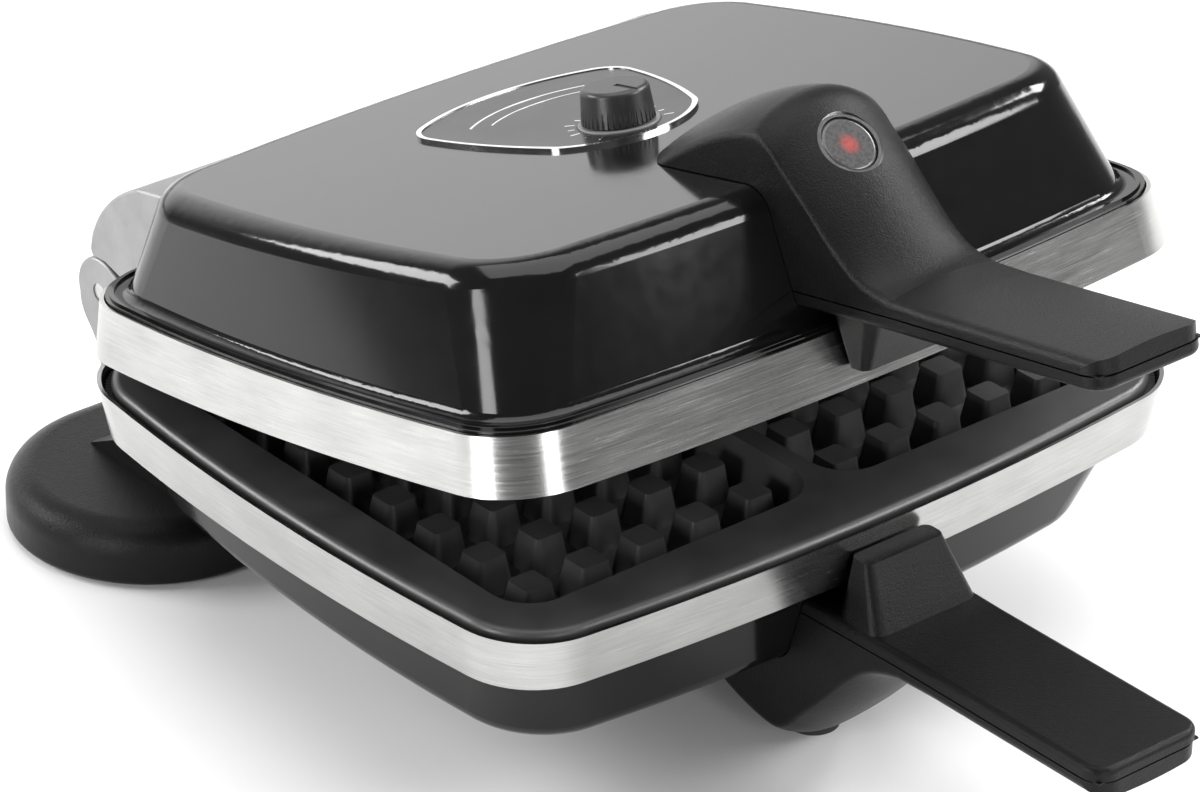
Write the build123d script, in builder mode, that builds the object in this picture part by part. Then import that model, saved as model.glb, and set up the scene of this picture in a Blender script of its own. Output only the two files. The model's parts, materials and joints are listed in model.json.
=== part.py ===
from build123d import *
from math import atan, cos, degrees, sin
import os

# Two-waffle electric waffle maker, millimetres.
# X runs along the front, Y from the handles to the hinges, Z up.
# Origin: centre of the outer box, on the surface that it stands on.
# The two halves mirror each other about the parting plane, so each half is drawn once, above
# that plane, in heights h measured from it. Lower pieces are mirrored down. Lid pieces are
# turned about the hinge axis to the opening that the lid rests at.

# ---------------------------------------------------------------- overall
PARTING = 81.0            # height of the parting plane
HANDLE_REACH = 214.6      # from the middle of the body to the end of a handle
FOOT_REACH = 177.0        # from the middle of the body to the back of the rear foot
BODY_Y = (HANDLE_REACH - FOOT_REACH) / 2
REST_OPENING = 10.34      # degrees that the lid stands open at rest

# ---------------------------------------------------------------- body outline
CORNER_X = 126.1          # half width between the outline's corners
CORNER_Y = 102.2          # half depth between the outline's corners
BOW_X = 6.7               # the sides bulge by this much
BOW_Y = 8.0               # the front and back bulge by this much
CORNER_R = 26.0
DOME_CORNER_R = (23.0, 32.0)   # dome corners at the flange and at the top

# ---------------------------------------------------------------- band, plate, shell
BAND_GAP = 1.3            # parting plane to the near edge of each steel band
BAND_H = 16.4
BAND_DRAFT = 2.6          # the far edge of the band is this much further in
SHEET = 1.0               # band thickness
FLANGE_INSET = BAND_DRAFT + SHEET + 0.3
FLANGE_T = 1.8
BAND_TOP = BAND_GAP + BAND_H
FLANGE_TOP = BAND_TOP + 1.0
DOME_INSET = 9.4
DOME_DRAFT = 0.293        # inset gained per millimetre of height
DOME_EDGE_R = 9.0
FOOT_OF_DOME_R = 3.0      # fillet between the dome and the flange
BEAD_H = 0.8
WALL = 1.6                # pressed shell thickness

UPPER_TOP, UPPER_SLOPE = 56.8, 0.047      # height at the front of the dome, fall towards the back
LOWER_TOP, LOWER_SLOPE = 48.6, 0.043
DOME_FRONT = 85.0         # the dome height is given this far in front of the middle

PLATE_INSET = 3.2
PLATE_FACE = 0.2          # rim to parting plane
PEG_SINK = 3.7            # peg tops to parting plane
PITCH = 20.0
PEG_TOP, PEG_BASE, PEG_H = 9.2, 13.6, 11.0
COLS, ROWS = 5, 8
GROUP_X = 56.2            # middle of each waffle
MARGIN = 11.6             # peg to cavity wall at the rim
RIB_HALF = 3.4            # half width of the rib between the waffles
CAVITY_R = 13.0
FLOOR_T = 4.6
RIM_T = 6.5
PAN_X, PAN_Y = 115.0, 89.0
CAVITY_FLOOR = PEG_SINK + PEG_H
PLATE_BACK = CAVITY_FLOOR + FLOOR_T
BOSSES = [(x, y) for x in (-62, 62) for y in (-48, 48)]
POSTS = [(x, y) for x in (-30, 30) for y in (-50, 50)]
ELEMENT_R = 3.3
ELEMENT_H = PLATE_BACK + ELEMENT_R
SHIELD_H, SHIELD_T = PLATE_BACK + 8.0, 0.7

# ---------------------------------------------------------------- hinges
AXIS_Y, AXIS_H = 127.5, 4.5               # from the middle of the body, above the parting plane
HINGE_X, HINGE_W = 79.0, 39.5
CHEEK_W, CHEEK_R = 8.5, 11.0
PIN_R = 3.0
RUN = 0.05                # radial running fit of the pins
CLEAR = 0.5               # clearance between the turning leaf and the fixed one
AXIS = Axis((0, BODY_Y + AXIS_Y, PARTING + AXIS_H), (-1, 0, 0))

# ---------------------------------------------------------------- handles
GRIP_IN, GRIP_SPLIT, GRIP_OUT = 24.6, 29.2, 33.8
GRIP_HALF = 20.0
# Stations from the top of the hump down to the grip: distance from the middle of the body, half
# width, height along the sides, height along the middle.
HUMP = (
    (-30, 20.4, 45.5, 52.5), (-46, 20.8, 56.0, 63.4), (-62, 21.0, 64.2, 71.6), (-78, 21.0, 70.0, 77.4),
    (-85, 21.0, 71.2, 78.7),
)
RIDGE = (-90, 21.0, 72.0, 79.6)           # where the roof and the slope would meet if it were sharp
SLOPE = (
    (-95, 21.0, 66.5, 74.9), (-102, 20.9, 58.7, 68.3), (-110, 20.7, 49.6, 60.2), (-119, 20.4, 39.9, 50.0),
    (-127, 20.2, 35.2, 41.2), (-136, 20.0, 33.4, 35.4),
)
GRIP = ((-136, 20.0, 33.4, 35.4), (-150, 20.0, 33.0, 34.4))
EDGE_ROUND = 3.2          # along both sides of the hump and the grip
LUG_TIP = 7.5             # height that the lug in front of the band reaches
LAMP_Y, LAMP_H = -103.3, 66.9
LAMP_R = 9.8

# ---------------------------------------------------------------- rear foot
FOOT_HALF_X, FOOT_R, FOOT_TOP = 123.0, 45.0, 20.0
FOOT_LIFT = 1.0           # the rubber pads stand out by this much
PEDESTAL_X = 87.0

# ---------------------------------------------------------------- top controls
KNOB_Y = -3.0
KNOB_R, KNOB_H = 10.8, 12.0

os.makedirs("parts", exist_ok=True)


# ================================================================ helpers
def at(y, h):
    """Point of the Y-Z plane, y from the middle of the body and h from the parting plane."""
    return (BODY_Y + y, PARTING + h)


def finish(part, name):
    part.label = name
    export_step(part, f"parts/{name}.step")


def finish_lower(part, name):
    """Mirror a piece drawn above the parting plane into the lower half."""
    finish(mirror(part, about=Plane.XY.offset(PARTING)), name)


def finish_lid(part, name):
    """Turn a piece of the closed lid to its rest opening."""
    finish(part.rotate(AXIS, REST_OPENING), name)


def body_plane(h):
    """Level plane at a height above the parting plane, with its origin in the middle of the body."""
    return Plane(origin=(0, *at(0, h)), x_dir=(1, 0, 0), z_dir=(0, 0, 1))


def side_plane(x=0):
    """Upright plane across the object whose local axes are the global Y and Z."""
    return Plane(origin=(x, 0, 0), x_dir=(0, 1, 0), z_dir=(1, 0, 0))


def body_plan(inset, h, corner_r=None):
    """The bowed outline, this much inside its widest line, at a height above the parting plane."""
    w, d = CORNER_X - inset, CORNER_Y - inset
    with BuildSketch(body_plane(h)) as plan:
        with BuildLine():
            ThreePointArc((-w, -d), (0, -d - BOW_Y), (w, -d))
            ThreePointArc((w, -d), (w + BOW_X, 0), (w, d))
            ThreePointArc((w, d), (0, d + BOW_Y), (-w, d))
            ThreePointArc((-w, d), (-w - BOW_X, 0), (-w, -d))
        make_face()
        fillet(plan.vertices(), corner_r or max(CORNER_R - 0.35 * inset, 8))
    return plan.sketch


def tapered(inset_a, h_a, inset_b, h_b, corners=(None, None)):
    """Solid with straight drafted sides between two outlines."""
    low = body_plan(inset_a, h_a, corners[0])
    high = body_plan(inset_b, h_b, corners[1])
    with BuildPart() as solid:
        loft([low.faces()[0], high.faces()[0]], ruled=True)
    return solid.part


def dome_form(shrink, top_front, slope, edge_r):
    """The dome of a half: drafted walls, a top that falls to the back, a rounded top edge.

    `shrink` moves every face inwards, for the inside of the shell.
    """
    cut = top_front - shrink
    base_h = FLANGE_TOP - FLANGE_T - 1.0 if shrink > 0 else FLANGE_TOP - 0.5
    base = DOME_INSET + shrink + DOME_DRAFT * (base_h - FLANGE_TOP)
    tall = top_front + 10
    corners = [r - shrink for r in DOME_CORNER_R]
    slant = atan(slope)
    top = Plane(origin=(0, *at(-DOME_FRONT, cut)), x_dir=(1, 0, 0), z_dir=(0, sin(slant), cos(slant)))
    with BuildPart() as dome:
        add(tapered(base, base_h, base + DOME_DRAFT * (tall - base_h), tall, corners))
        split(bisect_by=top, keep=Keep.BOTTOM)
        fillet(dome.faces().sort_by(Axis.Z)[-1].edges(), edge_r)
    return dome.part


def bead_ring():
    """Small raised bead that runs round the flange."""
    with BuildPart() as bead:
        extrude(body_plan(4.9, FLANGE_TOP - 0.1), amount=BEAD_H)
        extrude(body_plan(6.0, FLANGE_TOP - 0.1), amount=BEAD_H, mode=Mode.SUBTRACT)
    return bead.part


def shell(top_front, slope):
    """Pressed shell of a half: skirt inside the band, flange with a bead, dome."""
    with BuildPart() as shell:
        extrude(body_plan(FLANGE_INSET, BAND_TOP - 0.8), amount=FLANGE_T)
        add(dome_form(0, top_front, slope, DOME_EDGE_R))
        flange = shell.faces().filter_by_position(Axis.Z, PARTING + FLANGE_TOP - 0.01, PARTING + FLANGE_TOP + 0.01)
        fillet(flange[0].inner_wires()[0].edges(), FOOT_OF_DOME_R)
        add(bead_ring())
        add(tapered(FLANGE_INSET, BAND_TOP - 0.8, FLANGE_INSET, BAND_TOP - 9.0))
        skirt = FLANGE_INSET + 1.4
        add(tapered(skirt, BAND_TOP - 0.8, skirt, BAND_TOP - 9.1), mode=Mode.SUBTRACT)
        add(dome_form(WALL, top_front, slope, DOME_EDGE_R - WALL), mode=Mode.SUBTRACT)
    return shell.part


def envelope(top_front, slope, grow):
    """Everything inside a half's outer surface, grown sideways and upwards, to trim its fittings."""
    with BuildPart() as solid:
        add(tapered(-grow - BAND_DRAFT * 3 / BAND_H, BAND_GAP - 3, BAND_DRAFT - grow, BAND_TOP + grow))
        add(tapered(FLANGE_INSET - grow, BAND_TOP - 1, FLANGE_INSET - grow, FLANGE_TOP + BEAD_H + grow))
        add(dome_form(-grow, top_front, slope, DOME_EDGE_R))
        ledge = PARTING + FLANGE_TOP + BEAD_H + grow
        face = solid.faces().filter_by_position(Axis.Z, ledge - 0.01, ledge + 0.01)
        fillet(face[0].inner_wires()[0].edges(), FOOT_OF_DOME_R)
    return solid.part


# ================================================================ steel bands and rim gaskets
def band():
    with BuildPart() as band:
        add(tapered(0, BAND_GAP, BAND_DRAFT, BAND_TOP))
        add(tapered(SHEET, BAND_GAP - 0.1, SHEET + BAND_DRAFT, BAND_TOP + 0.1), mode=Mode.SUBTRACT)
    return band.part


def gasket():
    """Woven seal between the band and the edge of the plate."""
    with BuildPart() as gasket:
        extrude(body_plan(SHEET + 0.95, BAND_GAP + 2.7), amount=2.6)
        extrude(body_plan(PLATE_INSET, BAND_GAP + 2.6), amount=2.8, mode=Mode.SUBTRACT)
    return gasket.part


# ================================================================ waffle plates
def peg_places():
    return [
        (side * GROUP_X + (col - (COLS - 1) / 2) * PITCH, (row - (ROWS - 1) / 2) * PITCH)
        for side in (-1, 1) for col in range(COLS) for row in range(ROWS)
    ]


def drop(places, h):
    """Locations above a list of points of the plan, at a height above the parting plane."""
    return [Location((x, *at(y, h))) for x, y in places]


def plate():
    """Cast plate: rim, two cavities, truncated pyramid pegs, bosses on the back."""
    span_x = (COLS - 1) * PITCH / 2 + PEG_TOP / 2 + MARGIN
    span_y = (ROWS - 1) * PITCH / 2 + PEG_TOP / 2 + MARGIN
    inner_x = RIB_HALF
    outer_x = GROUP_X + span_x
    with BuildPart() as plate:
        extrude(body_plan(PLATE_INSET, PLATE_FACE), amount=RIM_T)
        fillet(plate.faces().sort_by(Axis.Z)[0].edges(), 2.6)
        with BuildSketch(body_plane(PLATE_FACE + 3)):
            RectangleRounded(2 * PAN_X, 2 * PAN_Y, 18)
        extrude(amount=CAVITY_FLOOR + 0.4 - PLATE_FACE - 3)
        with BuildSketch(body_plane(CAVITY_FLOOR)):
            RectangleRounded(2 * PAN_X - 8, 2 * PAN_Y - 8, 26)
        extrude(amount=FLOOR_T)
        for side in (-1, 1):
            with BuildSketch(body_plane(PLATE_FACE)):
                with Locations((side * (inner_x + outer_x) / 2, 0)):
                    RectangleRounded(outer_x - inner_x, 2 * span_y, CAVITY_R)
            extrude(amount=CAVITY_FLOOR - PLATE_FACE, taper=14, mode=Mode.SUBTRACT)
        with BuildSketch(body_plane(PEG_SINK)):
            with Locations(peg_places()):
                RectangleRounded(PEG_TOP, PEG_TOP, 1.4)
        extrude(amount=CAVITY_FLOOR - PEG_SINK + 0.5,
                taper=-degrees(atan((PEG_BASE - PEG_TOP) / 2 / PEG_H)))
        with BuildSketch(body_plane(PLATE_BACK)):
            with Locations(BOSSES):
                Circle(6)
        extrude(amount=SHIELD_H - SHIELD_T - PLATE_BACK)
        with Locations(drop(BOSSES, SHIELD_H - SHIELD_T)):
            Hole(1.7, 9)
    return plate.part


# ================================================================ heating
def heating_element():
    """Tubular element: a folded loop on the back of the plate with two cold ends."""
    route = [(-12, 78), (-12, 62), (-92, 62), (-92, -66), (-40, -66), (-40, 30),
             (40, 30), (40, -66), (92, -66), (92, 62), (12, 62), (12, 78)]
    with BuildPart() as element:
        with BuildLine(body_plane(ELEMENT_H)) as path:
            FilletPolyline(*route, radius=7.5)
        with BuildSketch(Plane(origin=path.line @ 0, z_dir=path.line % 0)):
            Circle(ELEMENT_R)
        sweep()
        with BuildSketch(Plane(origin=(0, *at(77.5, ELEMENT_H)), x_dir=(1, 0, 0), z_dir=(0, 1, 0))):
            with Locations((-12, 0), (12, 0)):
                Circle(1.6)
        extrude(amount=7)
    return element.part


def heat_shield(rise):
    """Bright pan over the element that keeps the heat off the shell."""
    with BuildPart() as shield:
        add(tapered(17, SHIELD_H, 15, SHIELD_H - 6))
        add(tapered(17 + SHIELD_T, SHIELD_H - SHIELD_T, 15 + SHIELD_T, SHIELD_H - 6.1), mode=Mode.SUBTRACT)
        with BuildSketch(body_plane(SHIELD_H - 0.1)):
            RectangleRounded(150, 60, 8)
        extrude(amount=rise, taper=30)
        with BuildSketch(body_plane(SHIELD_H - 0.8)):
            RectangleRounded(148.6, 58.6, 7.4)
        extrude(amount=rise, taper=30, mode=Mode.SUBTRACT)
        with Locations(drop(BOSSES, SHIELD_H + 1)):
            Hole(2.2, 9)
        with Locations(drop(POSTS, SHIELD_H + 1)):
            Hole(4.6, 9)
    return shield.part


def pan_screws():
    """Four screws that hold the heat shield to the bosses of the plate."""
    with BuildPart() as screws:
        with BuildSketch(body_plane(SHIELD_H)):
            with Locations(BOSSES):
                Circle(3.4)
        extrude(amount=2.2)
        fillet(screws.faces().sort_by(Axis.Z)[-4:].edges(), 0.8)
        with BuildSketch(body_plane(SHIELD_H - 5)):
            with Locations(BOSSES):
                Circle(1.65)
        extrude(amount=6)
        with BuildSketch(body_plane(SHIELD_H + 2.5)):
            with Locations(BOSSES):
                Rectangle(4.2, 0.9)
                Rectangle(0.9, 4.2)
        extrude(amount=-1.3, mode=Mode.SUBTRACT)
    return screws.part


# ================================================================ handles
def section(y, half, edge, mid, foot, edge_r):
    """Cross-section of the handle: flat foot, upright sides, crowned top with rounded edges."""
    plane = Plane(origin=(0, *at(y, 0)), x_dir=(1, 0, 0), z_dir=(0, -1, 0))
    with BuildSketch(plane) as sketch:
        with BuildLine():
            Polyline((half, edge), (half, foot), (-half, foot), (-half, edge))
            ThreePointArc((-half, edge), (0, mid), (half, edge))
        make_face()
        fillet(sketch.vertices().sort_by(Axis.Y)[-2:], edge_r)
    return sketch.sketch.faces()[0]


def hump_form(stations, shrink, foot, edge_r):
    faces = [section(y, half - shrink, edge - shrink, mid - shrink, foot, edge_r) for y, half, edge, mid in stations]
    with BuildPart() as form:
        loft(faces)
    return form.part


def round_over(before, corner, after, steps=4):
    """Stations along the curve that starts towards a corner station and leaves away from it."""
    def on_curve(t):
        weights = ((1 - t) ** 2, 2 * t * (1 - t), t ** 2)
        return tuple(sum(w * v for w, v in zip(weights, values)) for values in zip(before, corner, after))
    return [on_curve(i / steps) for i in range(steps + 1)]


def lamp_plane(depth=0.0):
    """Plane square to the slope at the pilot lamp, this far below the surface."""
    normal = Vector(0, -0.72, 0.694)
    return Plane(origin=Vector(0, *at(LAMP_Y, LAMP_H)) - normal * depth, x_dir=(1, 0, 0), z_dir=normal)


def handle_cover(top_front, slope, with_lamp):
    """Outer half of a handle with the hollow hump that reaches over the dome."""
    with BuildPart() as cover:
        add(hump_form(HUMP, 0, GRIP_SPLIT, EDGE_ROUND))
        add(hump_form(round_over(HUMP[-1], RIDGE, SLOPE[0]), 0, GRIP_SPLIT, EDGE_ROUND))
        add(hump_form(SLOPE, 0, GRIP_SPLIT, EDGE_ROUND))
        add(hump_form(GRIP, 0, GRIP_SPLIT, EDGE_ROUND))
        extrude(section(*GRIP[-1], GRIP_SPLIT, EDGE_ROUND), amount=HANDLE_REACH + GRIP[-1][0])
        add(hump_form(HUMP[2:], 3.2, GRIP_SPLIT - 1, 1.5), mode=Mode.SUBTRACT)
        add(hump_form(round_over(HUMP[-1], RIDGE, SLOPE[0]), 3.2, GRIP_SPLIT - 1, 1.5), mode=Mode.SUBTRACT)
        add(hump_form(SLOPE[:4], 3.2, GRIP_SPLIT - 1, 1.5), mode=Mode.SUBTRACT)
        add(envelope(top_front, slope, 0.3), mode=Mode.SUBTRACT)
        add(grip_corners(), mode=Mode.SUBTRACT)
        if with_lamp:
            with BuildSketch(lamp_plane(4.0)):
                Circle(LAMP_R)
            extrude(amount=12, mode=Mode.SUBTRACT)
            with BuildSketch(lamp_plane(14.0)):
                Circle(LAMP_R - 1.2)
            extrude(amount=16, mode=Mode.SUBTRACT)
    return cover.part


def grip_corners():
    """What the rounded end of the grip leaves off a square one."""
    with BuildPart() as corners:
        with BuildSketch(body_plane(GRIP_IN - 1)):
            with Locations((0, -HANDLE_REACH + 10)):
                Rectangle(60, 22)
            with Locations((0, -HANDLE_REACH + 20)):
                RectangleRounded(2 * GRIP_HALF + 0.02, 40, 7.5, mode=Mode.SUBTRACT)
        extrude(amount=GRIP_OUT - GRIP_IN + 6)
    return corners.part


def handle_base(top_front, slope):
    """Inner half of a handle: flat grip, and the lug that hangs in front of the band."""
    wide = [(-GRIP_HALF, -HANDLE_REACH), (GRIP_HALF, -HANDLE_REACH), (GRIP_HALF, -136), (21, -96), (21, -80),
            (-21, -80), (-21, -96), (-GRIP_HALF, -136)]
    with BuildPart() as base:
        with BuildSketch(body_plane(GRIP_IN)):
            Polygon(*wide, align=None)
        extrude(amount=GRIP_SPLIT - GRIP_IN - 0.5)
        fillet(base.edges().filter_by(Axis.Z).sort_by(Axis.Y)[:2], 6.5)
        fillet(base.faces().sort_by(Axis.Z)[0].edges(), 2.0)
        with BuildSketch(body_plane(GRIP_SPLIT - 0.6)):
            Polygon(*wide, align=None)
            offset(amount=-1.2)
        extrude(amount=0.6)
        with BuildSketch(body_plane(GRIP_IN + 1)):
            with Locations((0, -119)):
                RectangleRounded(39, 18, 4)
        with BuildSketch(body_plane(LUG_TIP)):
            with Locations((0, -113.6)):
                RectangleRounded(29, 7.6, 2.5)
        loft()
        add(envelope(top_front, slope, 0.3), mode=Mode.SUBTRACT)
    return base.part


# ================================================================ hinges
LEAF_ARC_R = CHEEK_R + 0.6
SLOT_HALF = HINGE_W / 2 - CHEEK_W
LEAF_BACK = [(80, 43), (99.6, 42.4), (111.3, 37.9), (121.9, 30.2), (128, 21.8)]


def hinge_upper(x):
    """Lid leaf: D shaped block on the dome wall with a knuckle between the cheeks."""
    pin = at(AXIS_Y, AXIS_H)
    with BuildPart() as leaf:
        with BuildSketch(side_plane(x - HINGE_W / 2)) as profile:
            with BuildLine():
                Polyline(at(*LEAF_BACK[0]), at(*LEAF_BACK[1]))
                Spline(*[at(*p) for p in LEAF_BACK[1:]], at(129.4, 18.0))
                Polyline(at(129.4, 18.0), at(128.4, 15.4), at(122.4, 15.0), at(109.5, 8.8), at(80, 8.8),
                         at(*LEAF_BACK[0]))
            make_face()
        extrude(amount=HINGE_W)
        fillet(leaf.faces().sort_by(Axis.X)[0].edges(), 1.2)
        fillet(leaf.faces().sort_by(Axis.X)[-1].edges(), 1.2)
        with BuildSketch(side_plane(x - HINGE_W / 2 - 1)):
            with Locations(pin):
                Circle(LEAF_ARC_R)
        extrude(amount=HINGE_W + 2, mode=Mode.SUBTRACT)
        with BuildSketch(side_plane(x - SLOT_HALF + CLEAR)):
            with Locations(pin):
                Circle(CHEEK_R - 0.4)
            Polygon(at(117.2, 6.5), at(117.0, 13.5), at(128.6, 18.0), at(132.0, 13.5), align=None)
        extrude(amount=2 * (SLOT_HALF - CLEAR))
        with BuildSketch(side_plane(x - HINGE_W)):
            with Locations(pin):
                Circle(PIN_R + RUN)
        extrude(amount=2 * HINGE_W, mode=Mode.SUBTRACT)
        add(envelope(UPPER_TOP, UPPER_SLOPE, 0.05), mode=Mode.SUBTRACT)
        add(hinge_bolts(x, 2.05), mode=Mode.SUBTRACT)
    return leaf.part


def hinge_lower(x):
    """Base leaf, drawn in place: a matching block with two cheeks that stand up round the pin."""
    pin = at(AXIS_Y, AXIS_H)
    mirrored = [at(y, -h) for y, h in LEAF_BACK]
    with BuildPart() as leaf:
        with BuildSketch(side_plane(x - HINGE_W / 2)):
            with BuildLine():
                Polyline(mirrored[0], mirrored[1])
                Spline(*mirrored[1:], at(131, -12), at(135.2, -6.8), at(138, 1.2))
                Polyline(at(138, 1.2), at(127.5, 4.5), at(122.7, 14.4), at(109.5, 8.1), at(109.5, -1), at(80, -1),
                         mirrored[0])
            make_face()
            with Locations(pin):
                Circle(CHEEK_R)
        extrude(amount=HINGE_W)
        fillet(leaf.faces().sort_by(Axis.X)[0].edges(), 1.0)
        fillet(leaf.faces().sort_by(Axis.X)[-1].edges(), 1.0)
        with BuildSketch(side_plane(x - SLOT_HALF)):
            with Locations(pin):
                Circle(CHEEK_R + 0.2)
            Polygon(at(108, AXIS_H), at(108, 30), at(142, 30), at(142, AXIS_H), align=None)
        extrude(amount=2 * SLOT_HALF, mode=Mode.SUBTRACT)
        with BuildSketch(side_plane(x - HINGE_W)):
            with Locations(pin):
                Circle(PIN_R)
        extrude(amount=2 * HINGE_W, mode=Mode.SUBTRACT)
        add(mirror(envelope(LOWER_TOP, LOWER_SLOPE, 0.05), about=Plane.XY.offset(PARTING)), mode=Mode.SUBTRACT)
        add(mirror(hinge_bolts(x, 2.05), about=Plane.XY.offset(PARTING)), mode=Mode.SUBTRACT)
    return leaf.part


def hinge_pins():
    with BuildPart() as pins:
        for x in (-HINGE_X, HINGE_X):
            with BuildSketch(side_plane(x - HINGE_W / 2 + 0.4)):
                with Locations(at(AXIS_Y, AXIS_H)):
                    Circle(PIN_R)
            extrude(amount=HINGE_W - 0.8)
    return pins.part


BOLT_H = 31.0


def hinge_bolts(x, radius, head=0.0):
    """Two bolts through the dome wall into a hinge leaf, with their heads inside the dome."""
    with BuildPart() as bolts:
        for side in (-10, 10):
            with BuildSketch(Plane(origin=(x + side, *at(84, BOLT_H)), x_dir=(1, 0, 0), z_dir=(0, 1, 0))):
                Circle(radius)
            extrude(amount=24)
            if head:
                with BuildSketch(Plane(origin=(x + side, *at(84, BOLT_H)), x_dir=(1, 0, 0), z_dir=(0, 1, 0))):
                    RegularPolygon(head, 6)
                extrude(amount=3.5)
    return bolts.part


# ================================================================ rear foot
def foot_slot(z, shrink):
    with BuildSketch(Plane.XY.offset(z)) as sketch:
        with Locations((0, BODY_Y + FOOT_REACH - FOOT_R)):
            SlotCenterToCenter(2 * (FOOT_HALF_X - FOOT_R), 2 * (FOOT_R - shrink))
    return sketch.sketch


PAD_PLACES = [(x, FOOT_REACH - FOOT_R) for x in (-88, 88)]
PAD_R = 11.0


def rear_foot():
    """Moulded foot: a long bar with round ends."""
    with BuildPart() as foot:
        extrude(foot_slot(FOOT_LIFT, 0), amount=FOOT_TOP - FOOT_LIFT)
        fillet(foot.faces().sort_by(Axis.Z)[-1].edges(), 9.0)
        fillet(foot.faces().sort_by(Axis.Z)[0].edges(), 2.5)
        with BuildSketch(Plane.XY.offset(FOOT_LIFT)):
            with Locations([(x, BODY_Y + y) for x, y in PAD_PLACES]):
                Circle(PAD_R)
        extrude(amount=1.2, mode=Mode.SUBTRACT)
    return foot.part


def pedestal():
    """Wedge on the foot that carries the lower shell between and beside the hinges."""
    with BuildPart() as pedestal:
        with BuildSketch(side_plane(-PEDESTAL_X)):
            Polygon((BODY_Y + 96, FOOT_TOP), (BODY_Y + 96, 39), (BODY_Y + 118, 37), (BODY_Y + 130, 31),
                    (BODY_Y + 151, FOOT_TOP + 0.5), (BODY_Y + 152, FOOT_TOP), align=None)
        extrude(amount=2 * PEDESTAL_X)
        fillet(pedestal.edges().filter_by(Axis.X).filter_by_position(Axis.Z, 25, 38), 5.0)
        add(mirror(envelope(LOWER_TOP, LOWER_SLOPE, 0.05), about=Plane.XY.offset(PARTING)), mode=Mode.SUBTRACT)
        for x in (-HINGE_X, HINGE_X):
            with BuildSketch(side_plane(x - HINGE_W / 2 - 0.3)):
                Polygon(*[at(y + 0.1, -h - 0.2) for y, h in LEAF_BACK], at(128.6, 0), at(80, 0), align=None)
            extrude(amount=HINGE_W + 0.6, mode=Mode.SUBTRACT)
    return pedestal.part


def foot_pads(radius, places, top):
    """Round rubber pads on the surface that the waffle maker stands on."""
    with BuildPart() as pads:
        with BuildSketch(Plane.XY):
            with Locations([(x, BODY_Y + y) for x, y in places]):
                Circle(radius)
        extrude(amount=top)
        fillet(pads.faces().filter_by_position(Axis.Z, -0.01, 0.01).edges(), 0.5)
    return pads.part


# ================================================================ top of the lid
def top_height(y):
    return UPPER_TOP - UPPER_SLOPE * (y + DOME_FRONT)


def top_plane(y, lift=0.0):
    """Plane on the sloping top of the closed lid, with its local Y running to the back."""
    slant = atan(UPPER_SLOPE)
    normal = (0, sin(slant), cos(slant))
    return Plane(origin=Vector(0, *at(y, top_height(y))) + Vector(*normal) * lift, x_dir=(1, 0, 0), z_dir=normal)


def badge(lift, shrink):
    """Outline of the badge round the knob: wide at the back, narrow and rounded at the front."""
    back, front = 39 - shrink, 26.5 - shrink
    with BuildSketch(top_plane(KNOB_Y, lift)) as sketch:
        with BuildLine():
            ThreePointArc((-back, 48 - shrink), (0, 60 - shrink), (back, 48 - shrink))
            ThreePointArc((back, 48 - shrink), (35.5 - shrink, 22), (front, shrink - 4))
            ThreePointArc((front, shrink - 4), (0, shrink - 16.5), (-front, shrink - 4))
            ThreePointArc((-front, shrink - 4), (shrink - 35.5, 22), (-back, 48 - shrink))
        make_face()
        fillet(sketch.vertices(), 12 - shrink)
    return sketch.sketch


def nameplate():
    """Thin black badge round the knob."""
    with BuildPart() as plate:
        extrude(badge(0, 1.3), amount=0.7)
        with BuildSketch(top_plane(KNOB_Y, -1)):
            Circle(12.2)
        extrude(amount=3, mode=Mode.SUBTRACT)
    return plate.part


def nameplate_trim():
    with BuildPart() as trim:
        extrude(badge(0, 0), amount=1.0)
        extrude(badge(-0.5, 1.3), amount=2.5, mode=Mode.SUBTRACT)
    return trim.part


def dial_ring():
    with BuildPart() as ring:
        with BuildSketch(top_plane(KNOB_Y)):
            Circle(12.0)
            Circle(4.2, mode=Mode.SUBTRACT)
        extrude(amount=1.3)
        fillet(ring.edges().sort_by(Axis.Z)[-2:], 0.4)
    return ring.part


KNOB_LIFT = 1.7           # gap under the knob
SHAFT_R = 3.0
FLUTES = 40


def knob():
    """Fluted knob with a domed top and a groove for the pointer."""
    with BuildPart() as knob:
        with BuildSketch(top_plane(KNOB_Y, KNOB_LIFT)):
            Circle(KNOB_R)
        extrude(amount=KNOB_H - KNOB_LIFT, taper=5)
        fillet(knob.edges().sort_by(Axis.Z)[-1], 1.6)
        with BuildSketch(top_plane(KNOB_Y, KNOB_LIFT)):
            with PolarLocations(KNOB_R, FLUTES):
                Circle(0.42)
        extrude(amount=KNOB_H - KNOB_LIFT - 1.2, taper=0, mode=Mode.SUBTRACT)
        with BuildSketch(top_plane(KNOB_Y, KNOB_H - 0.8)):
            with Locations((0, -5.0)):
                Rectangle(1.8, 9.0)
        extrude(amount=2, mode=Mode.SUBTRACT)
        with BuildSketch(top_plane(KNOB_Y, KNOB_LIFT)):
            Circle(SHAFT_R)
        extrude(amount=7, mode=Mode.SUBTRACT)
    return knob.part


def knob_pointer():
    with BuildPart() as pointer:
        with BuildSketch(top_plane(KNOB_Y, KNOB_H - 0.8)):
            with Locations((0, -5.0)):
                Rectangle(1.8, 9.0)
        extrude(amount=0.4)
    return pointer.part


def thermostat_shaft():
    with BuildPart() as shaft:
        with BuildSketch(top_plane(KNOB_Y, -3.5)):
            Circle(SHAFT_R)
        extrude(amount=3.5 + KNOB_LIFT + 7)
    return shaft.part


BOX_TOP = -4.0            # thermostat body below the outside of the dome


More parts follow.
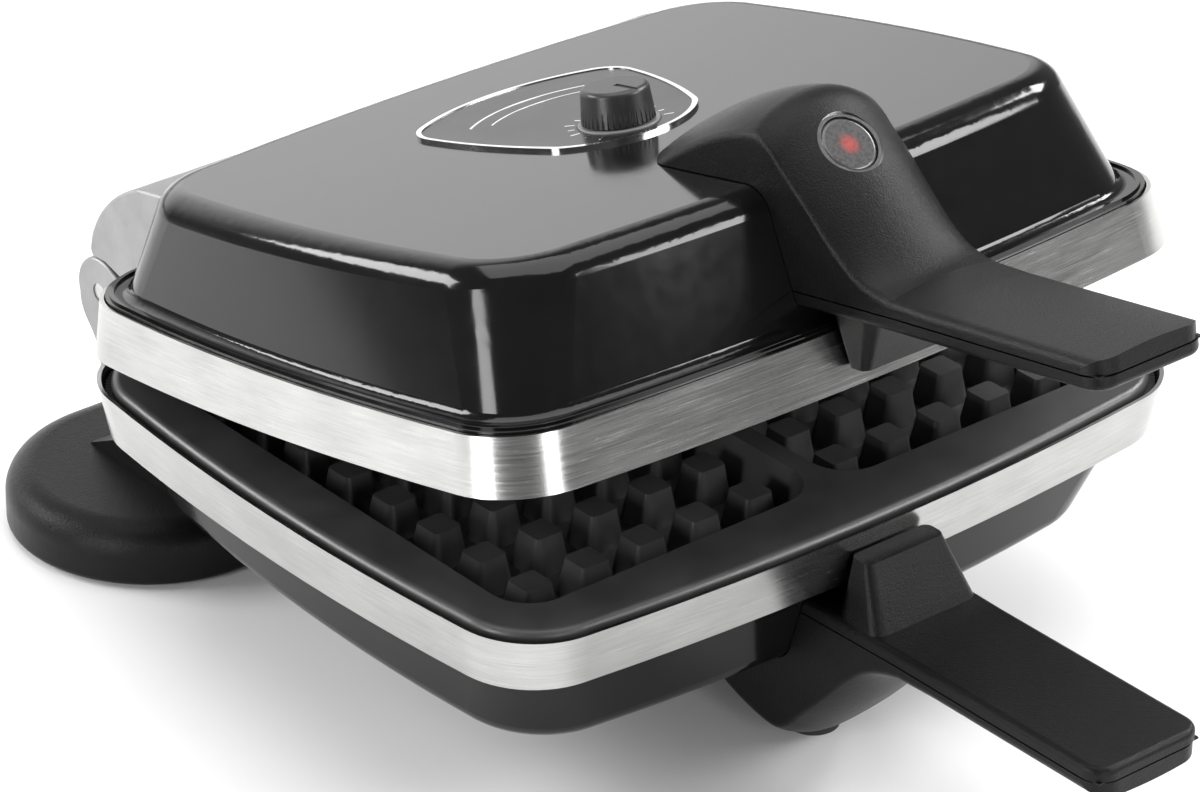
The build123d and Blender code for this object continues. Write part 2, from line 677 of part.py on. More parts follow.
def thermostat():
    with BuildPart() as body:
        with BuildSketch(top_plane(KNOB_Y, BOX_TOP)):
            RectangleRounded(40, 36, 3)
        extrude(amount=-14)
        with BuildSketch(top_plane(KNOB_Y, BOX_TOP - 14)):
            with Locations((-14, -24), (0, -24), (14, -24)):
                Rectangle(6.3, 12)
        extrude(amount=0.8)
    return body.part


def thermostat_bracket():
    """Strap that holds the thermostat up against the dome."""
    with BuildPart() as strap:
        with BuildSketch(top_plane(KNOB_Y, -WALL)):
            RectangleRounded(62, 22, 3)
            Circle(SHAFT_R + 1, mode=Mode.SUBTRACT)
            with Locations((-26, 0), (26, 0)):
                Circle(2.1, mode=Mode.SUBTRACT)
        extrude(amount=BOX_TOP + WALL)
    return strap.part


def thermostat_screws():
    with BuildPart() as screws:
        with BuildSketch(top_plane(KNOB_Y, BOX_TOP)):
            with Locations((-26, 0), (26, 0)):
                Circle(3.6)
        extrude(amount=-2.2)
        with BuildSketch(top_plane(KNOB_Y, BOX_TOP)):
            with Locations((-26, 0), (26, 0)):
                Circle(2.0)
        extrude(amount=-BOX_TOP - WALL)
    return screws.part


def thermal_fuse():
    """Cut-out clipped to the middle of the heat shield."""
    with BuildPart() as fuse:
        with BuildSketch(Plane(origin=(38, *at(14, SHIELD_H + 6.2)), x_dir=(1, 0, 0), z_dir=(0, 1, 0))):
            Circle(2.2)
        extrude(amount=18)
    return fuse.part


# ================================================================ pilot lamp
def pilot_bezel():
    with BuildPart() as bezel:
        with BuildSketch(lamp_plane(4.0)):
            Circle(LAMP_R - 0.02)
            Circle(LAMP_R - 1.2, mode=Mode.SUBTRACT)
        extrude(amount=2.8)
    return bezel.part


def pilot_lens():
    with BuildPart() as lens:
        with BuildSketch(lamp_plane(5.0)):
            Circle(LAMP_R - 1.25)
        extrude(amount=3.6)
        fillet(lens.edges().sort_by(Axis.Z)[-1], 1.2)
        with BuildSketch(lamp_plane(5.1)):
            Circle(LAMP_R - 2.8)
        extrude(amount=2.0, mode=Mode.SUBTRACT)
    return lens.part


def pilot_lamp():
    with BuildPart() as lamp:
        with BuildSketch(lamp_plane(12.0)):
            Circle(2.6)
        extrude(amount=8.2)
        fillet(lamp.edges().sort_by(Axis.Z)[-1], 2.0)
    return lamp.part


def lamp_holder():
    with BuildPart() as holder:
        with BuildSketch(lamp_plane(12.0)):
            Circle(LAMP_R - 1.25)
            Circle(2.6, mode=Mode.SUBTRACT)
        extrude(amount=3.0)
        with BuildSketch(lamp_plane(9.1)):
            Circle(LAMP_R - 1.25)
            Circle(LAMP_R - 2.6, mode=Mode.SUBTRACT)
        extrude(amount=4.0)
    return holder.part


# ================================================================ posts, screws, gland
def posts(top_front, slope):
    """Four posts between the back of the plate and the inside of the shell."""
    with BuildPart() as posts:
        with BuildSketch(body_plane(PLATE_BACK)):
            with Locations(POSTS):
                Circle(4)
        extrude(amount=40)
        add(dome_form(WALL, top_front, slope, DOME_EDGE_R - WALL), mode=Mode.INTERSECT)
        with BuildSketch(body_plane(PLATE_BACK + 8)):
            with Locations(POSTS):
                Circle(1.7)
        extrude(amount=40, mode=Mode.SUBTRACT)
    return posts.part


def shell_screws():
    """Screws that pass through the lower shell into the posts."""
    top = LOWER_TOP - LOWER_SLOPE * (DOME_FRONT + 50) - WALL
    with BuildPart() as screws:
        with BuildSketch(body_plane(top - 12)):
            with Locations(POSTS):
                Circle(1.65)
        extrude(amount=20)
        with BuildSketch(body_plane(LOWER_TOP - LOWER_SLOPE * (DOME_FRONT - 50) + 0.15)):
            with Locations(POSTS):
                Circle(3.8)
        extrude(amount=2.0)
        split(bisect_by=Plane.XY.offset(PARTING + LOWER_TOP - LOWER_SLOPE * (DOME_FRONT - 50) + 2.15),
              keep=Keep.BOTTOM)
    return screws.part


def handle_screws(radius, head, head_h):
    """Two screws that close the grip; the heads lie on the inner or on the outer face."""
    places = [(0, -148), (0, -192)]
    with BuildPart() as screws:
        with BuildSketch(body_plane(head_h)):
            with Locations(places):
                Circle(head)
        extrude(amount=2.0)
        with BuildSketch(body_plane(GRIP_IN + 1.8)):
            with Locations(places):
                Circle(radius)
        extrude(amount=GRIP_OUT - GRIP_IN - 3.6)
    return screws.part


GLAND_H = 34.0


def gland(bore):
    with BuildPart() as gland:
        with BuildSketch(Plane(origin=(0, *at(92, GLAND_H)), x_dir=(1, 0, 0), z_dir=(0, 1, 0))):
            Circle(6)
        extrude(amount=14)
        with BuildSketch(Plane(origin=(0, *at(97.2, GLAND_H)), x_dir=(1, 0, 0), z_dir=(0, 1, 0))):
            Circle(7.6)
        extrude(amount=3)
        if bore:
            with BuildSketch(Plane(origin=(0, *at(91, GLAND_H)), x_dir=(1, 0, 0), z_dir=(0, 1, 0))):
                Circle(3.4)
            extrude(amount=20, mode=Mode.SUBTRACT)
    return gland.part


def terminal_block():
    with BuildPart() as block:
        with BuildSketch(body_plane(SHIELD_H + 0.0)):
            with Locations((0, 66)):
                RectangleRounded(34, 16, 1.5)
        extrude(amount=10)
        with BuildSketch(body_plane(SHIELD_H + 11)):
            with Locations((-11, 66), (0, 66), (11, 66)):
                Circle(2.2)
        extrude(amount=-6, mode=Mode.SUBTRACT)
    return block.part


def less(part, *tools):
    """A part with the shapes of other pieces cut out of it."""
    with BuildPart() as trimmed:
        add(part)
        for tool in tools:
            add(tool, mode=Mode.SUBTRACT)
    return trimmed.part


def shaft_hole():
    with BuildPart() as hole:
        with BuildSketch(top_plane(KNOB_Y, -5)):
            Circle(SHAFT_R + 1.2)
        extrude(amount=8)
    return hole.part


def post_holes():
    with BuildPart() as holes:
        with BuildSketch(body_plane(SHIELD_H + 2)):
            with Locations(POSTS):
                Circle(1.7)
        extrude(amount=30)
    return holes.part


# ================================================================ lower half
INNER_HEAD, OUTER_HEAD = GRIP_IN + 0.2, GRIP_OUT - 2.2

lower_bolts = [hinge_bolts(x, 2.05) for x in (-HINGE_X, HINGE_X)]
lower_screw_holes = handle_screws(1.7, 3.6, OUTER_HEAD)
lower_bay = less(shell(LOWER_TOP, LOWER_SLOPE), *lower_bolts, post_holes(), gland(False))

finish_lower(band(), "lower_band")
finish_lower(gasket(), "lower_gasket")
finish_lower(lower_bay, "lower_shell")
finish_lower(plate(), "lower_plate")
finish_lower(heating_element(), "lower_heating_element")
finish_lower(heat_shield(2.0), "lower_heat_shield")
finish_lower(pan_screws(), "lower_shield_screws")
finish_lower(posts(LOWER_TOP, LOWER_SLOPE), "lower_posts")
finish_lower(shell_screws(), "lower_shell_screws")
finish_lower(less(handle_cover(LOWER_TOP, LOWER_SLOPE, False), lower_screw_holes), "lower_handle_cover")
finish_lower(less(handle_base(LOWER_TOP, LOWER_SLOPE), lower_screw_holes), "lower_handle_base")
finish_lower(handle_screws(1.6, 3.4, OUTER_HEAD), "lower_handle_screws")
finish_lower(gland(True), "cord_gland")
finish_lower(terminal_block(), "terminal_block")
finish_lower(hinge_bolts(-HINGE_X, 2.0, 4.0) + hinge_bolts(HINGE_X, 2.0, 4.0), "lower_hinge_bolts")
finish(hinge_lower(-HINGE_X), "hinge_lower_left")
finish(hinge_lower(HINGE_X), "hinge_lower_right")
finish(hinge_pins(), "hinge_pins")
finish(rear_foot(), "rear_foot")
finish(pedestal(), "foot_pedestal")
finish(foot_pads(PAD_R, PAD_PLACES, FOOT_LIFT + 1.2), "rear_foot_pads")
hump_below = [mirror(hump_form(stations, 0, GRIP_SPLIT, EDGE_ROUND), about=Plane.XY.offset(PARTING))
              for stations in (HUMP, round_over(HUMP[-1], RIDGE, SLOPE[0]), SLOPE)]
finish(less(foot_pads(8, [(0, -82)], 4), *hump_below), "front_foot_pad")

# ================================================================ lid
upper_bolts = [hinge_bolts(x, 2.05) for x in (-HINGE_X, HINGE_X)]
upper_screw_holes = handle_screws(1.7, 3.6, INNER_HEAD)
upper_bay = less(shell(UPPER_TOP, UPPER_SLOPE), *upper_bolts, shaft_hole())

finish_lid(band(), "upper_band")
finish_lid(gasket(), "upper_gasket")
finish_lid(upper_bay, "upper_shell")
finish_lid(plate(), "upper_plate")
finish_lid(heating_element(), "upper_heating_element")
finish_lid(heat_shield(4.0), "upper_heat_shield")
finish_lid(pan_screws(), "upper_shield_screws")
finish_lid(posts(UPPER_TOP, UPPER_SLOPE), "upper_posts")
finish_lid(less(handle_cover(UPPER_TOP, UPPER_SLOPE, True), upper_screw_holes), "upper_handle_cover")
finish_lid(less(handle_base(UPPER_TOP, UPPER_SLOPE), upper_screw_holes), "upper_handle_base")
finish_lid(handle_screws(1.6, 3.4, INNER_HEAD), "upper_handle_screws")
finish_lid(hinge_bolts(-HINGE_X, 2.0, 4.0) + hinge_bolts(HINGE_X, 2.0, 4.0), "upper_hinge_bolts")
finish_lid(hinge_upper(-HINGE_X), "hinge_upper_left")
finish_lid(hinge_upper(HINGE_X), "hinge_upper_right")
finish_lid(pilot_bezel(), "pilot_bezel")
finish_lid(pilot_lens(), "pilot_lens")
finish_lid(pilot_lamp(), "pilot_lamp")
finish_lid(lamp_holder(), "lamp_holder")
finish_lid(nameplate(), "nameplate")
finish_lid(nameplate_trim(), "nameplate_trim")
finish_lid(dial_ring(), "dial_ring")
finish_lid(thermostat(), "thermostat")
finish_lid(thermostat_bracket(), "thermostat_bracket")
finish_lid(thermostat_screws(), "thermostat_screws")
finish_lid(thermal_fuse(), "thermal_fuse")

# ================================================================ knob
finish_lid(knob(), "knob")
finish_lid(knob_pointer(), "knob_pointer")
finish_lid(thermostat_shaft(), "thermostat_shaft")
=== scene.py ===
import json
import math

import bpy
from mathutils import Matrix, Vector


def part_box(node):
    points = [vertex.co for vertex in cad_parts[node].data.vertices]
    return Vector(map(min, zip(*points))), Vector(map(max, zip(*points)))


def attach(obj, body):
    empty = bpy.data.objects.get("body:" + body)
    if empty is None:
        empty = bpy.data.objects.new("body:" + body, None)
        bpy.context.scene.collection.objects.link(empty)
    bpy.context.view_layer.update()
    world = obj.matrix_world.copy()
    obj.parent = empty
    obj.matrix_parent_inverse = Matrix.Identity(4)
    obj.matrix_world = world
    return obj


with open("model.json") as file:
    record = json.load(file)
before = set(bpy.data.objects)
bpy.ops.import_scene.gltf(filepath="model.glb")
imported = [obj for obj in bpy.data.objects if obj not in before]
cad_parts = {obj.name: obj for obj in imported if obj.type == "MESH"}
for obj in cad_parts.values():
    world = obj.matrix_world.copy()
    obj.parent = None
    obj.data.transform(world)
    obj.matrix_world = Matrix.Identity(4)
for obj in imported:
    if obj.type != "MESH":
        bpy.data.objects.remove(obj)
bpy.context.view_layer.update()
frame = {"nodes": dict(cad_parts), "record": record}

# ---------------------------------------------------------------- the object's own directions
LID_OPENING_DEG = 10.34
TOP_SLOPE_DEG = 2.69                         # the top of the lid falls towards the back
LID_OPENING = math.radians(LID_OPENING_DEG)  # the lid stands open by this much at rest
NODES = frame["nodes"]


# ---------------------------------------------------------------- node helpers
class Nodes:
    """A material's node tree, with short calls for the nodes that the finishes share."""

    def __init__(self, name):
        self.material = bpy.data.materials.new(name)
        self.material.use_nodes = True
        self.tree = self.material.node_tree
        self.shader = self.tree.nodes["Principled BSDF"]

    def add(self, kind, **settings):
        node = self.tree.nodes.new(kind)
        for key, value in settings.items():
            setattr(node, key, value)
        return node

    def link(self, source, target):
        self.tree.links.new(source, target)

    def set(self, **sockets):
        """Constants on the shader's own sockets."""
        for name, value in sockets.items():
            self.shader.inputs[name.replace("_", " ")].default_value = value

    def coordinates(self, scale=(1, 1, 1), tilt=0.0):
        """The piece's own place in metres, scaled; tilt turns it level for a piece of the lid."""
        place = self.add("ShaderNodeTexCoord")
        mapping = self.add("ShaderNodeMapping", vector_type="POINT")
        mapping.inputs["Rotation"].default_value = (tilt, 0, 0)
        self.link(place.outputs["Object"], mapping.inputs["Vector"])
        stretch = self.add("ShaderNodeVectorMath", operation="MULTIPLY")
        stretch.inputs[1].default_value = scale
        self.link(mapping.outputs["Vector"], stretch.inputs[0])
        return stretch.outputs["Vector"]

    def noise(self, vector, scale, detail=4.0, roughness=0.55, distortion=0.0):
        texture = self.add("ShaderNodeTexNoise")
        texture.inputs["Scale"].default_value = scale
        texture.inputs["Detail"].default_value = detail
        texture.inputs["Roughness"].default_value = roughness
        texture.inputs["Distortion"].default_value = distortion
        self.link(vector, texture.inputs["Vector"])
        return texture.outputs["Fac"]

    def ramp(self, factor, stops):
        """Maps a factor through (position, colour) stops; a number stands for a grey."""
        node = self.add("ShaderNodeValToRGB")
        elements = node.color_ramp.elements
        while len(elements) < len(stops):
            elements.new(0.5)
        for element, (position, colour) in zip(elements, stops):
            element.position = position
            element.color = (*colour, 1) if isinstance(colour, tuple) else (colour, colour, colour, 1)
        self.link(factor, node.inputs["Fac"])
        return node.outputs["Color"]

    def spread(self, factor, low, high):
        """Stretches the middle of a noise to a range."""
        node = self.add("ShaderNodeMapRange")
        node.inputs["From Min"].default_value = 0.3
        node.inputs["From Max"].default_value = 0.7
        node.inputs["To Min"].default_value = low
        node.inputs["To Max"].default_value = high
        self.link(factor, node.inputs["Value"])
        return node.outputs["Result"]

    def math(self, operation, a, b):
        node = self.add("ShaderNodeMath", operation=operation)
        for socket, value in zip(node.inputs, (a, b)):
            if isinstance(value, (int, float)):
                socket.default_value = value
            else:
                self.link(value, socket)
        return node.outputs["Value"]

    def bump(self, *layers):
        """Stacks (height, distance in metres) layers into the shader's normal."""
        normal = None
        for height, distance in layers:
            node = self.add("ShaderNodeBump")
            node.inputs["Strength"].default_value = 1.0
            node.inputs["Distance"].default_value = distance
            self.link(height, node.inputs["Height"])
            if normal is not None:
                self.link(normal, node.inputs["Normal"])
            normal = node.outputs["Normal"]
        self.link(normal, self.shader.inputs["Normal"])


# ---------------------------------------------------------------- finishes
def enamel(name, tilt, specular=0.5, coat=0.25):
    """Gloss black enamel: deep black under a clear layer, faint orange peel, a trace of handling."""
    m = Nodes(name)
    place = m.coordinates(tilt=tilt)
    handled = m.noise(place, 38, 5, 0.6)
    m.link(m.ramp(handled, [(0.35, 0.0035), (0.65, 0.0055)]), m.shader.inputs["Base Color"])
    m.link(m.spread(m.noise(place, 210, 3), 0.10, 0.14), m.shader.inputs["Roughness"])
    m.set(IOR=1.5, Specular_IOR_Level=specular, Coat_Weight=coat, Coat_Roughness=0.04)
    m.bump((m.noise(place, 520, 2), 0.0000035))
    return m.material


def brushed_band(name, tilt):
    """Stainless band, brushed along its length, with soft uneven streaks."""
    m = Nodes(name)
    fine = m.noise(m.coordinates((9, 9, 3400), tilt), 1.0, 3, 0.65)
    streak = m.noise(m.coordinates((60, 60, 1900), tilt), 1.0, 4, 0.6)
    cloud = m.noise(m.coordinates((45, 45, 90), tilt), 1.0, 4, 0.5)
    tone = m.math("ADD", m.math("MULTIPLY", streak, 0.6), m.math("MULTIPLY", cloud, 0.4))
    m.link(m.ramp(tone, [(0.34, (0.39, 0.39, 0.385)), (0.66, (0.52, 0.52, 0.51))]),
           m.shader.inputs["Base Color"])
    m.link(m.spread(streak, 0.20, 0.28), m.shader.inputs["Roughness"])
    m.set(Metallic=1.0)
    m.bump((fine, 0.000010), (streak, 0.000008))
    return m.material


def moulded(name, grey, rough, grain, depth, tilt=0.0, stipple=0.0, specular=0.5):
    """Moulded plastic with an even eroded grain, slightly polished spots and, where asked, a stipple."""
    m = Nodes(name)
    place = m.coordinates(tilt=tilt)
    wear = m.noise(place, 45, 5, 0.6)
    fine = m.noise(place, grain, 3, 0.6)
    m.link(m.ramp(wear, [(0.35, grey * 0.85), (0.65, grey * 1.2)]), m.shader.inputs["Base Color"])
    m.link(m.spread(wear, rough * 0.93, rough * 1.07), m.shader.inputs["Roughness"])
    m.set(IOR=1.5, Specular_IOR_Level=specular)
    layers = [(fine, depth), (m.noise(place, grain * 0.23, 2), depth * 1.2)]
    if stipple:
        layers.append((m.noise(place, 1700, 3, 0.7), stipple))
    m.bump(*layers)
    return m.material


def coated_casting(name, tilt):
    """Dark non-stick coating over a cast plate: satin, finely pebbled, blotched in tone."""
    m = Nodes(name)
    place = m.coordinates(tilt=tilt)
    blotch = m.noise(place, 60, 5, 0.6)
    pebble = m.noise(place, 1500, 2, 0.5)
    m.link(m.ramp(blotch, [(0.35, 0.034), (0.65, 0.048)]), m.shader.inputs["Base Color"])
    m.link(m.spread(blotch, 0.34, 0.44), m.shader.inputs["Roughness"])
    m.set(IOR=1.6)
    m.bump((pebble, 0.00002), (m.noise(place, 240, 3), 0.00003))
    return m.material


def blasted_casting(name):
    """Light grey aluminium casting with a fine blasted skin."""
    m = Nodes(name)
    place = m.coordinates()
    cloud = m.noise(place, 70, 5, 0.65)
    grit = m.noise(place, 1900, 2, 0.6)
    m.link(m.ramp(cloud, [(0.3, 0.27), (0.7, 0.36)]), m.shader.inputs["Base Color"])
    m.link(m.spread(cloud, 0.46, 0.58), m.shader.inputs["Roughness"])
    m.set(Metallic=0.85)
    m.bump((grit, 0.00003), (m.noise(place, 300, 3), 0.00003))
    return m.material


def plain_metal(name, grey, rough, streaks):
    """Machined or drawn metal with light directional marks."""
    m = Nodes(name)
    marks = m.noise(m.coordinates(streaks), 12.0, 5, 0.65)
    m.link(m.ramp(marks, [(0.3, grey * 0.88), (0.7, min(grey * 1.1, 1.0))]), m.shader.inputs["Base Color"])
    m.link(m.spread(marks, rough * 0.8, rough * 1.2), m.shader.inputs["Roughness"])
    m.set(Metallic=1.0)
    m.bump((marks, 0.00002),)
    return m.material


def woven_seal(name):
    """Woven glass-fibre seal."""
    m = Nodes(name)
    place = m.coordinates()
    wave = m.add("ShaderNodeTexWave", wave_type="BANDS", bands_direction="DIAGONAL")
    wave.inputs["Scale"].default_value = 260
    wave.inputs["Distortion"].default_value = 1.5
    m.link(place, wave.inputs["Vector"])
    m.link(m.ramp(wave.outputs["Fac"], [(0.2, 0.02), (0.8, 0.05)]), m.shader.inputs["Base Color"])
    m.link(m.spread(m.noise(place, 200), 0.8, 0.95), m.shader.inputs["Roughness"])
    m.bump((wave.outputs["Fac"], 0.0002),)
    return m.material


def lamp_lens(name):
    """Frosted grey lens with the small red glow of the lamp behind its middle."""
    m = Nodes(name)
    place = m.coordinates()
    low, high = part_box("pilot_lens")
    middle = (Vector(low) + Vector(high)) / 2
    offset = m.add("ShaderNodeVectorMath", operation="DISTANCE")
    offset.inputs[1].default_value = middle
    m.link(place, offset.inputs[0])
    glow = m.add("ShaderNodeMapRange", interpolation_type="SMOOTHERSTEP")
    glow.inputs["From Min"].default_value = 0.0004
    glow.inputs["From Max"].default_value = 0.0050
    glow.inputs["To Min"].default_value = 1.0
    glow.inputs["To Max"].default_value = 0.0
    m.link(offset.outputs["Value"], glow.inputs["Value"])
    frost = m.noise(place, 900, 3)
    m.link(m.ramp(glow.outputs["Result"], [(0.0, (0.045, 0.043, 0.043)), (1.0, (0.30, 0.03, 0.025))]),
           m.shader.inputs["Base Color"])
    m.link(m.ramp(glow.outputs["Result"], [(0.0, (0.0, 0.0, 0.0)), (1.0, (0.42, 0.02, 0.015))]),
           m.shader.inputs["Emission Color"])
    m.link(m.spread(frost, 0.22, 0.34), m.shader.inputs["Roughness"])
    m.set(Emission_Strength=0.55, Coat_Weight=0.4, Coat_Roughness=0.08)
    m.bump((frost, 0.00001),)
    return m.material


def clear_lamp(name):
    """Red glass of the lamp behind the lens."""
    m = Nodes(name)
    place = m.coordinates()
    m.link(m.ramp(m.noise(place, 300), [(0.3, (0.7, 0.15, 0.08)), (0.7, (0.9, 0.25, 0.12))]),
           m.shader.inputs["Base Color"])
    m.link(m.spread(m.noise(place, 500), 0.05, 0.12), m.shader.inputs["Roughness"])
    m.set(Transmission_Weight=0.5)
    return m.material


def fired_ceramic(name):
    """White fired ceramic of the terminal block."""
    m = Nodes(name)
    place = m.coordinates()
    m.link(m.ramp(m.noise(place, 260, 4), [(0.3, (0.66, 0.65, 0.61)), (0.7, (0.76, 0.75, 0.72))]),
           m.shader.inputs["Base Color"])
    m.link(m.spread(m.noise(place, 400), 0.5, 0.65), m.shader.inputs["Roughness"])
    m.bump((m.noise(place, 1500), 0.00003),)
    return m.material


FINISHES = {
    "enamel": (enamel("Enamel_base", 0.0, 0.16, 0.0), enamel("Enamel_lid", LID_OPENING, 0.33, 0.05)),
    "band_steel": (brushed_band("Band_base", 0.0), brushed_band("Band_lid", LID_OPENING)),
    "nonstick": (coated_casting("Plate_base", 0.0), coated_casting("Plate_lid", LID_OPENING)),
    "phenolic": (moulded("Phenolic_base", 0.004, 0.31, 2300, 0.00005, stipple=0.00016, specular=0.17),
                 moulded("Phenolic_lid", 0.004, 0.31, 2300, 0.00005, LID_OPENING, 0.00016, 0.17)),
    "hinge_casting": (blasted_casting("Hinge_casting"),) * 2,
    "seal": (woven_seal("Seal"),) * 2,
    "element_sheath": (plain_metal("Element_sheath", 0.22, 0.42, (60, 60, 60)),) * 2,
    "shield_sheet": (plain_metal("Shield_sheet", 0.70, 0.28, (8, 60, 60)),) * 2,
    "fastener_steel": (plain_metal("Fastener_steel", 0.52, 0.30, (50, 50, 50)),) * 2,
    "trim_chrome": (plain_metal("Trim_chrome", 0.72, 0.12, (20, 20, 20)),) * 2,
    "pad_rubber": (moulded("Pad_rubber", 0.018, 0.78, 1400, 0.00006),) * 2,
    "lamp_lens": (lamp_lens("Lamp_lens"),) * 2,
    "lamp_glass": (clear_lamp("Lamp_glass"),) * 2,
    "badge_black": (moulded("Badge_black", 0.006, 0.30, 2200, 0.00001),) * 2,
    "dial_ring_grey": (moulded("Dial_ring", 0.16, 0.38, 2400, 0.00002),) * 2,
    "knob_grey": (moulded("Knob_grey", 0.022, 0.36, 2400, 0.00002),) * 2,
    "pointer_light": (moulded("Pointer_light", 0.02, 0.5, 2400, 0.00002),) * 2,
    "ceramic_white": (fired_ceramic("Ceramic"),) * 2,
}
SLOTS = {entry["node"]: entry["material_slot"] for entry in frame["record"]["subparts"]}
LID_NODES = set(frame["record"]["behaviour"]["bodies"]["lid"])

for name, node in NODES.items():
    finish = FINISHES[SLOTS[name]][name in LID_NODES]
    node.data.materials.clear()
    node.data.materials.append(finish)


# ---------------------------------------------------------------- marks on the badge
BADGE_TILT = math.radians(LID_OPENING_DEG + TOP_SLOPE_DEG)
MARK_FOOT, MARK_TOP = -0.00002, 0.00014      # metres from the middle of the dial ring
BADGE_NORMAL = Vector((0, math.sin(BADGE_TILT), math.cos(BADGE_TILT)))
BADGE_BACK = Vector((0, math.cos(BADGE_TILT), -math.sin(BADGE_TILT)))


def badge_marks(name, bars):
    """Thin raised bars on the badge; each is (inner radius, outer radius, first angle, last angle)."""
    low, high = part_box("dial_ring")
    middle = (Vector(low) + Vector(high)) / 2
    vertices, faces = [], []
    for inner, outer, first, last in bars:
        steps = max(1, round((last - first) / 3))
        start = len(vertices)
        for step in range(steps + 1):
            angle = math.radians(first + (last - first) * step / steps)
            ray = math.sin(angle) * Vector((1, 0, 0)) + math.cos(angle) * BADGE_BACK
            section = ((inner, MARK_FOOT), (outer, MARK_FOOT), (outer, MARK_TOP), (inner, MARK_TOP))
            for radius, lift in section:
                vertices.append(middle + radius * ray + lift * BADGE_NORMAL)
        for step in range(steps):
            for side in range(4):
                a, b = start + 4 * step + side, start + 4 * step + (side + 1) % 4
                faces.append((a, b, b + 4, a + 4))
        faces.append((start + 3, start + 2, start + 1, start))
        end = start + 4 * steps
        faces.append((end, end + 1, end + 2, end + 3))
    mesh = bpy.data.meshes.new(name)
    mesh.from_pydata(vertices, [], faces)
    mesh.validate()
    marks = bpy.data.objects.new(name, mesh)
    bpy.context.collection.objects.link(marks)
    marks.data.materials.append(FINISHES["trim_chrome"][1])
    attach(marks, "lid")


TICK_INNER, TICK_SHORT, TICK_LONG = 0.0130, 0.0149, 0.0160
TICK_HALF_DEG = 1.2
badge_marks("dial_ticks", [(TICK_INNER, TICK_SHORT if index % 2 else TICK_LONG,
                            angle - TICK_HALF_DEG, angle + TICK_HALF_DEG)
                           for index, angle in enumerate(range(-120, 121, 20))])
badge_marks("badge_lines", [(0.0445, 0.0453, -34, 34), (0.0390, 0.0396, -30, 30)])


# ---------------------------------------------------------------- floor
FLOOR_SIZE = 12.0
CARD_LIFT = 0.0006
CARD_CORNERS = [(-0.16, -0.36), (-0.20, -0.17), (-0.42, -0.24), (-0.36, -0.52)]


def pale_floor():
    bpy.ops.mesh.primitive_plane_add(size=FLOOR_SIZE, location=(0, 0, 0))
    floor = bpy.context.object
    floor.name = "Floor"
    m = Nodes("Floor_white")
    place = m.coordinates()
    m.link(m.ramp(m.noise(place, 6, 4), [(0.3, 0.86), (0.7, 0.88)]), m.shader.inputs["Base Color"])
    m.link(m.spread(m.noise(place, 14), 0.7, 0.8), m.shader.inputs["Roughness"])
    floor.data.materials.append(m.material)


pale_floor()


def dark_card(name, corners):
    """Grey card on the floor, hidden from the camera, that the bands mirror at the front left corner."""
    mesh = bpy.data.meshes.new(name)
    mesh.from_pydata([(x, y, CARD_LIFT) for x, y in corners], [], [tuple(range(len(corners)))])
    card = bpy.data.objects.new(name, mesh)
    bpy.context.collection.objects.link(card)
    m = Nodes(name)
    place = m.coordinates()
    m.link(m.ramp(m.noise(place, 9, 3), [(0.3, 0.16), (0.7, 0.20)]), m.shader.inputs["Base Color"])
    m.link(m.spread(m.noise(place, 20), 0.7, 0.8), m.shader.inputs["Roughness"])
    card.data.materials.append(m.material)
    card.visible_camera = False
    card.visible_diffuse = False
    card.visible_shadow = False


dark_card("Card", CARD_CORNERS)


# ---------------------------------------------------------------- studio light
def soft_box(name, place, target, width, height, power):
    """Area light that points at a target; the camera does not see it."""
    light = bpy.data.lights.new(name, "AREA")
    light.shape = "RECTANGLE"
    light.size = width
    light.size_y = height
    light.energy = power
    box = bpy.data.objects.new(name, light)
    bpy.context.collection.objects.link(box)
    box.location = place
    box.rotation_euler = (Vector(target) - Vector(place)).to_track_quat("-Z", "Y").to_euler()
    box.visible_camera = False
    return box


MIDDLE = (0, 0, 0.10)
soft_box("Overhead", (0.1, 0.1, 1.35), MIDDLE, 1.5, 1.3, 17)
soft_box("Left_back", (-0.98, 1.08, 0.72), MIDDLE, 0.9, 0.42, 17)
soft_box("Front_right", (1.0, -1.1, 0.92), MIDDLE, 0.9, 0.42, 17)
soft_box("Right", (1.25, -0.1, 0.95), MIDDLE, 0.5, 0.35, 12)
soft_box("Left_strip", (-0.80, -0.06, 0.26), (0, -0.06, 0.26), 0.20, 0.46, 3.4)
soft_box("Front_strip", (-0.22, -0.85, 0.26), (-0.22, 0, 0.26), 0.18, 0.46, 2.0)


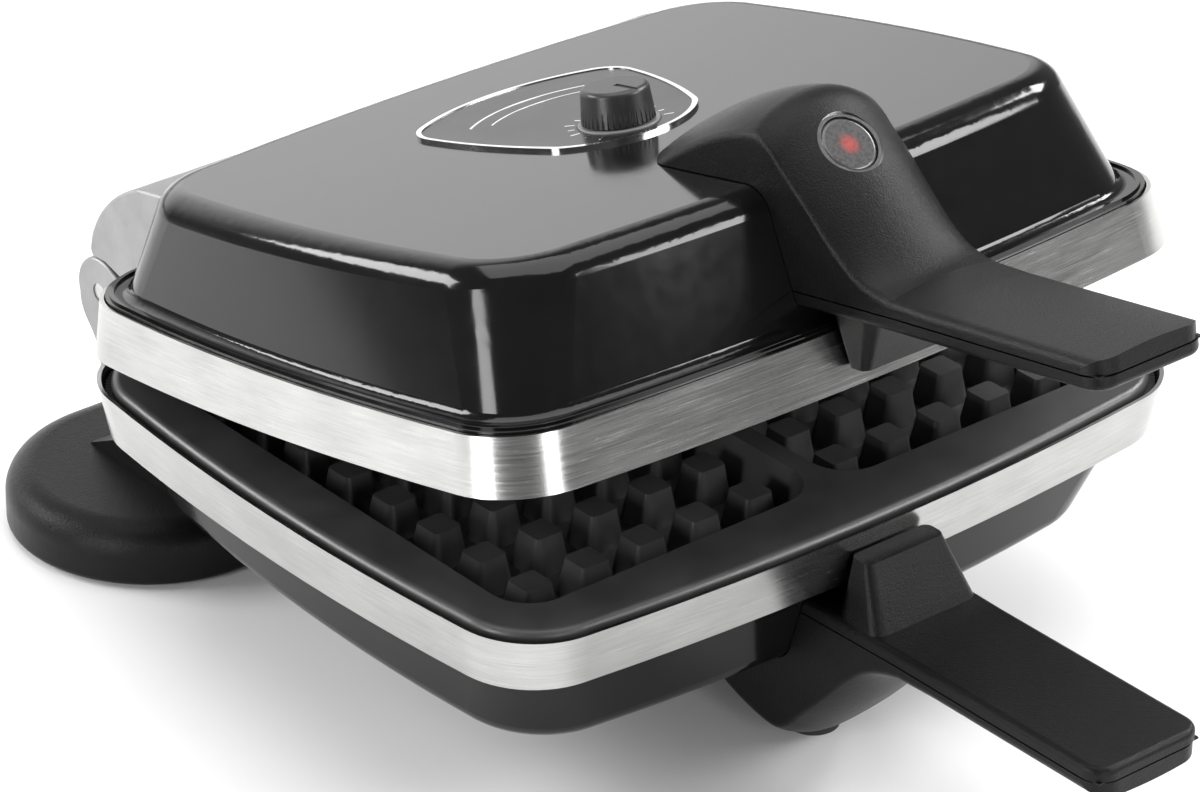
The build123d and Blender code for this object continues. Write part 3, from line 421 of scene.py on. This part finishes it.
def studio(strength_low, strength_high, towards, tight, wide):
    """World light: bright round one low direction behind the object, and dim elsewhere."""
    world = bpy.data.worlds.new("Studio")
    world.use_nodes = True
    tree = world.node_tree
    background = tree.nodes["Background"]
    direction = tree.nodes.new("ShaderNodeTexCoord")
    facing = tree.nodes.new("ShaderNodeVectorMath")
    facing.operation = "DOT_PRODUCT"
    facing.inputs[1].default_value = Vector(towards).normalized()
    tree.links.new(direction.outputs["Generated"], facing.inputs[0])
    level = tree.nodes.new("ShaderNodeMapRange")
    level.interpolation_type = "SMOOTHSTEP"
    level.inputs["From Min"].default_value = math.cos(math.radians(wide))
    level.inputs["From Max"].default_value = math.cos(math.radians(tight))
    level.inputs["To Min"].default_value = strength_low
    level.inputs["To Max"].default_value = strength_high
    tree.links.new(facing.outputs["Value"], level.inputs["Value"])
    tree.links.new(level.outputs["Result"], background.inputs["Strength"])
    background.inputs["Color"].default_value = (1, 1, 1, 1)
    bpy.context.scene.world = world


studio(0.20, 1.7, (0.30, 0.94, 0.16), 4, 40)
bpy.context.scene.view_settings.view_transform = "Standard"

# ---------------------------------------------------------------- camera
CAMERA_AT = Vector((-0.8994, -1.0162, 0.8265))
AZIMUTH, ELEVATION, ROLL = 40.6, 28.84, 0.951         # degrees: round from the front, up, lean
back = Vector((-math.sin(math.radians(AZIMUTH)) * math.cos(math.radians(ELEVATION)),
               -math.cos(math.radians(AZIMUTH)) * math.cos(math.radians(ELEVATION)),
               math.sin(math.radians(ELEVATION))))
level = Vector((0, 0, 1)).cross(back).normalized()
upright = back.cross(level)
lean = math.radians(ROLL)
right = math.cos(lean) * level + math.sin(lean) * upright
up = math.cos(lean) * upright - math.sin(lean) * level

lens = bpy.data.cameras.new("Camera")
lens.lens = 161.0
lens.sensor_width = 36.0
lens.clip_end = 50.0
camera = bpy.data.objects.new("Camera", lens)
bpy.context.collection.objects.link(camera)
camera.matrix_world = Matrix.Translation(CAMERA_AT) @ Matrix((right, up, back)).transposed().to_4x4()
bpy.context.scene.camera = camera
